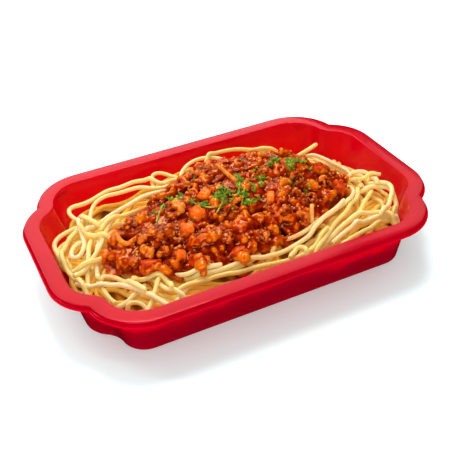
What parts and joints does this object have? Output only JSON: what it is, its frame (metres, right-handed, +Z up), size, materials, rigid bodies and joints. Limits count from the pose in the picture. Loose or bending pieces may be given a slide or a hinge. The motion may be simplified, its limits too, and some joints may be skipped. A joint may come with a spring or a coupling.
{
  "type": "spaghetti bolognese",
  "caption": "Spaghetti topped with a mound of tomato and minced meat sauce, in a shallow oblong plastic tray with a flat rim and scalloped corners.",
  "frame": {"origin": "on the table under the middle of the tray", "axes": "+X along the tray's length, +Y to the long side where the sauce is higher, +Z up"},
  "size_m": [0.225, 0.1496, 0.0447],
  "materials": {
    "red_tray_plastic": "moulded red plastic with a soft gloss",
    "cooked_spaghetti": "moist boiled pasta",
    "bolognese_sauce": "wet tomato and meat sauce",
    "boiled_carrot": "soft boiled carrot, coated with sauce",
    "tomato_flesh": "wet tomato flesh",
    "browned_mince": "browned minced meat, moist with sauce"
  },
  "bodies": {
    "root": {"tray": "red_tray_plastic", "spaghetti": "cooked_spaghetti", "sauce": "bolognese_sauce", "carrot_dice_1": "boiled_carrot", "carrot_dice_2": "boiled_carrot", "carrot_dice_3": "boiled_carrot", "carrot_dice_4": "boiled_carrot", "carrot_dice_5": "boiled_carrot", "tomato_chunk_1": "tomato_flesh", "tomato_chunk_2": "tomato_flesh", "tomato_chunk_3": "tomato_flesh", "tomato_chunk_4": "tomato_flesh", "tomato_chunk_5": "tomato_flesh", "mince_lump_1": "browned_mince", "mince_lump_2": "browned_mince", "mince_lump_3": "browned_mince", "mince_lump_4": "browned_mince", "mince_lump_5": "browned_mince", "mince_lump_6": "browned_mince", "mince_lump_7": "browned_mince", "mince_lump_8": "browned_mince", "mince_lump_9": "browned_mince", "mince_lump_10": "browned_mince", "mince_lump_11": "browned_mince", "mince_lump_12": "browned_mince", "mince_lump_13": "browned_mince", "mince_lump_14": "browned_mince", "mince_lump_15": "browned_mince", "mince_lump_16": "browned_mince"}
  },
  "joints": []
}
